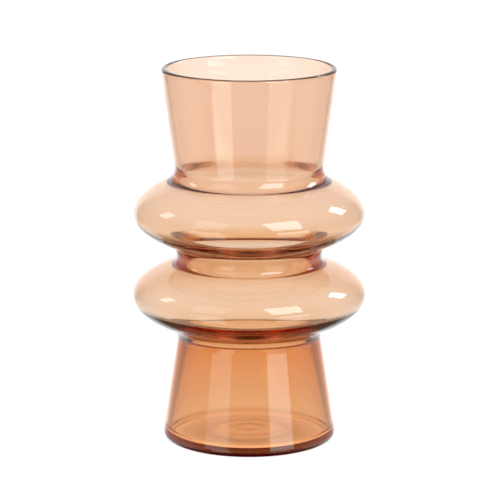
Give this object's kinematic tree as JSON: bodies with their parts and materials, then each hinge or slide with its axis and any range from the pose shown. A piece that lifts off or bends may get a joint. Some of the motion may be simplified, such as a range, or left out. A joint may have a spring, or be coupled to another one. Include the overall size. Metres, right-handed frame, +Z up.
{
  "type": "glass vase",
  "caption": "Free-standing blown glass vase with a flared foot, two round bulbs and a flared open collar for cut flowers.",
  "frame": {"origin": "centre of the standing ring, on the surface the vase stands on", "axes": "+Z up along the vase's own axis; the vase is the same all round, so +X and +Y are free"},
  "size_m": [0.1548, 0.1548, 0.25],
  "materials": {
    "amber_glass": "gloss"
  },
  "bodies": {
    "root": {"glass_body": "amber_glass"}
  },
  "joints": []
}
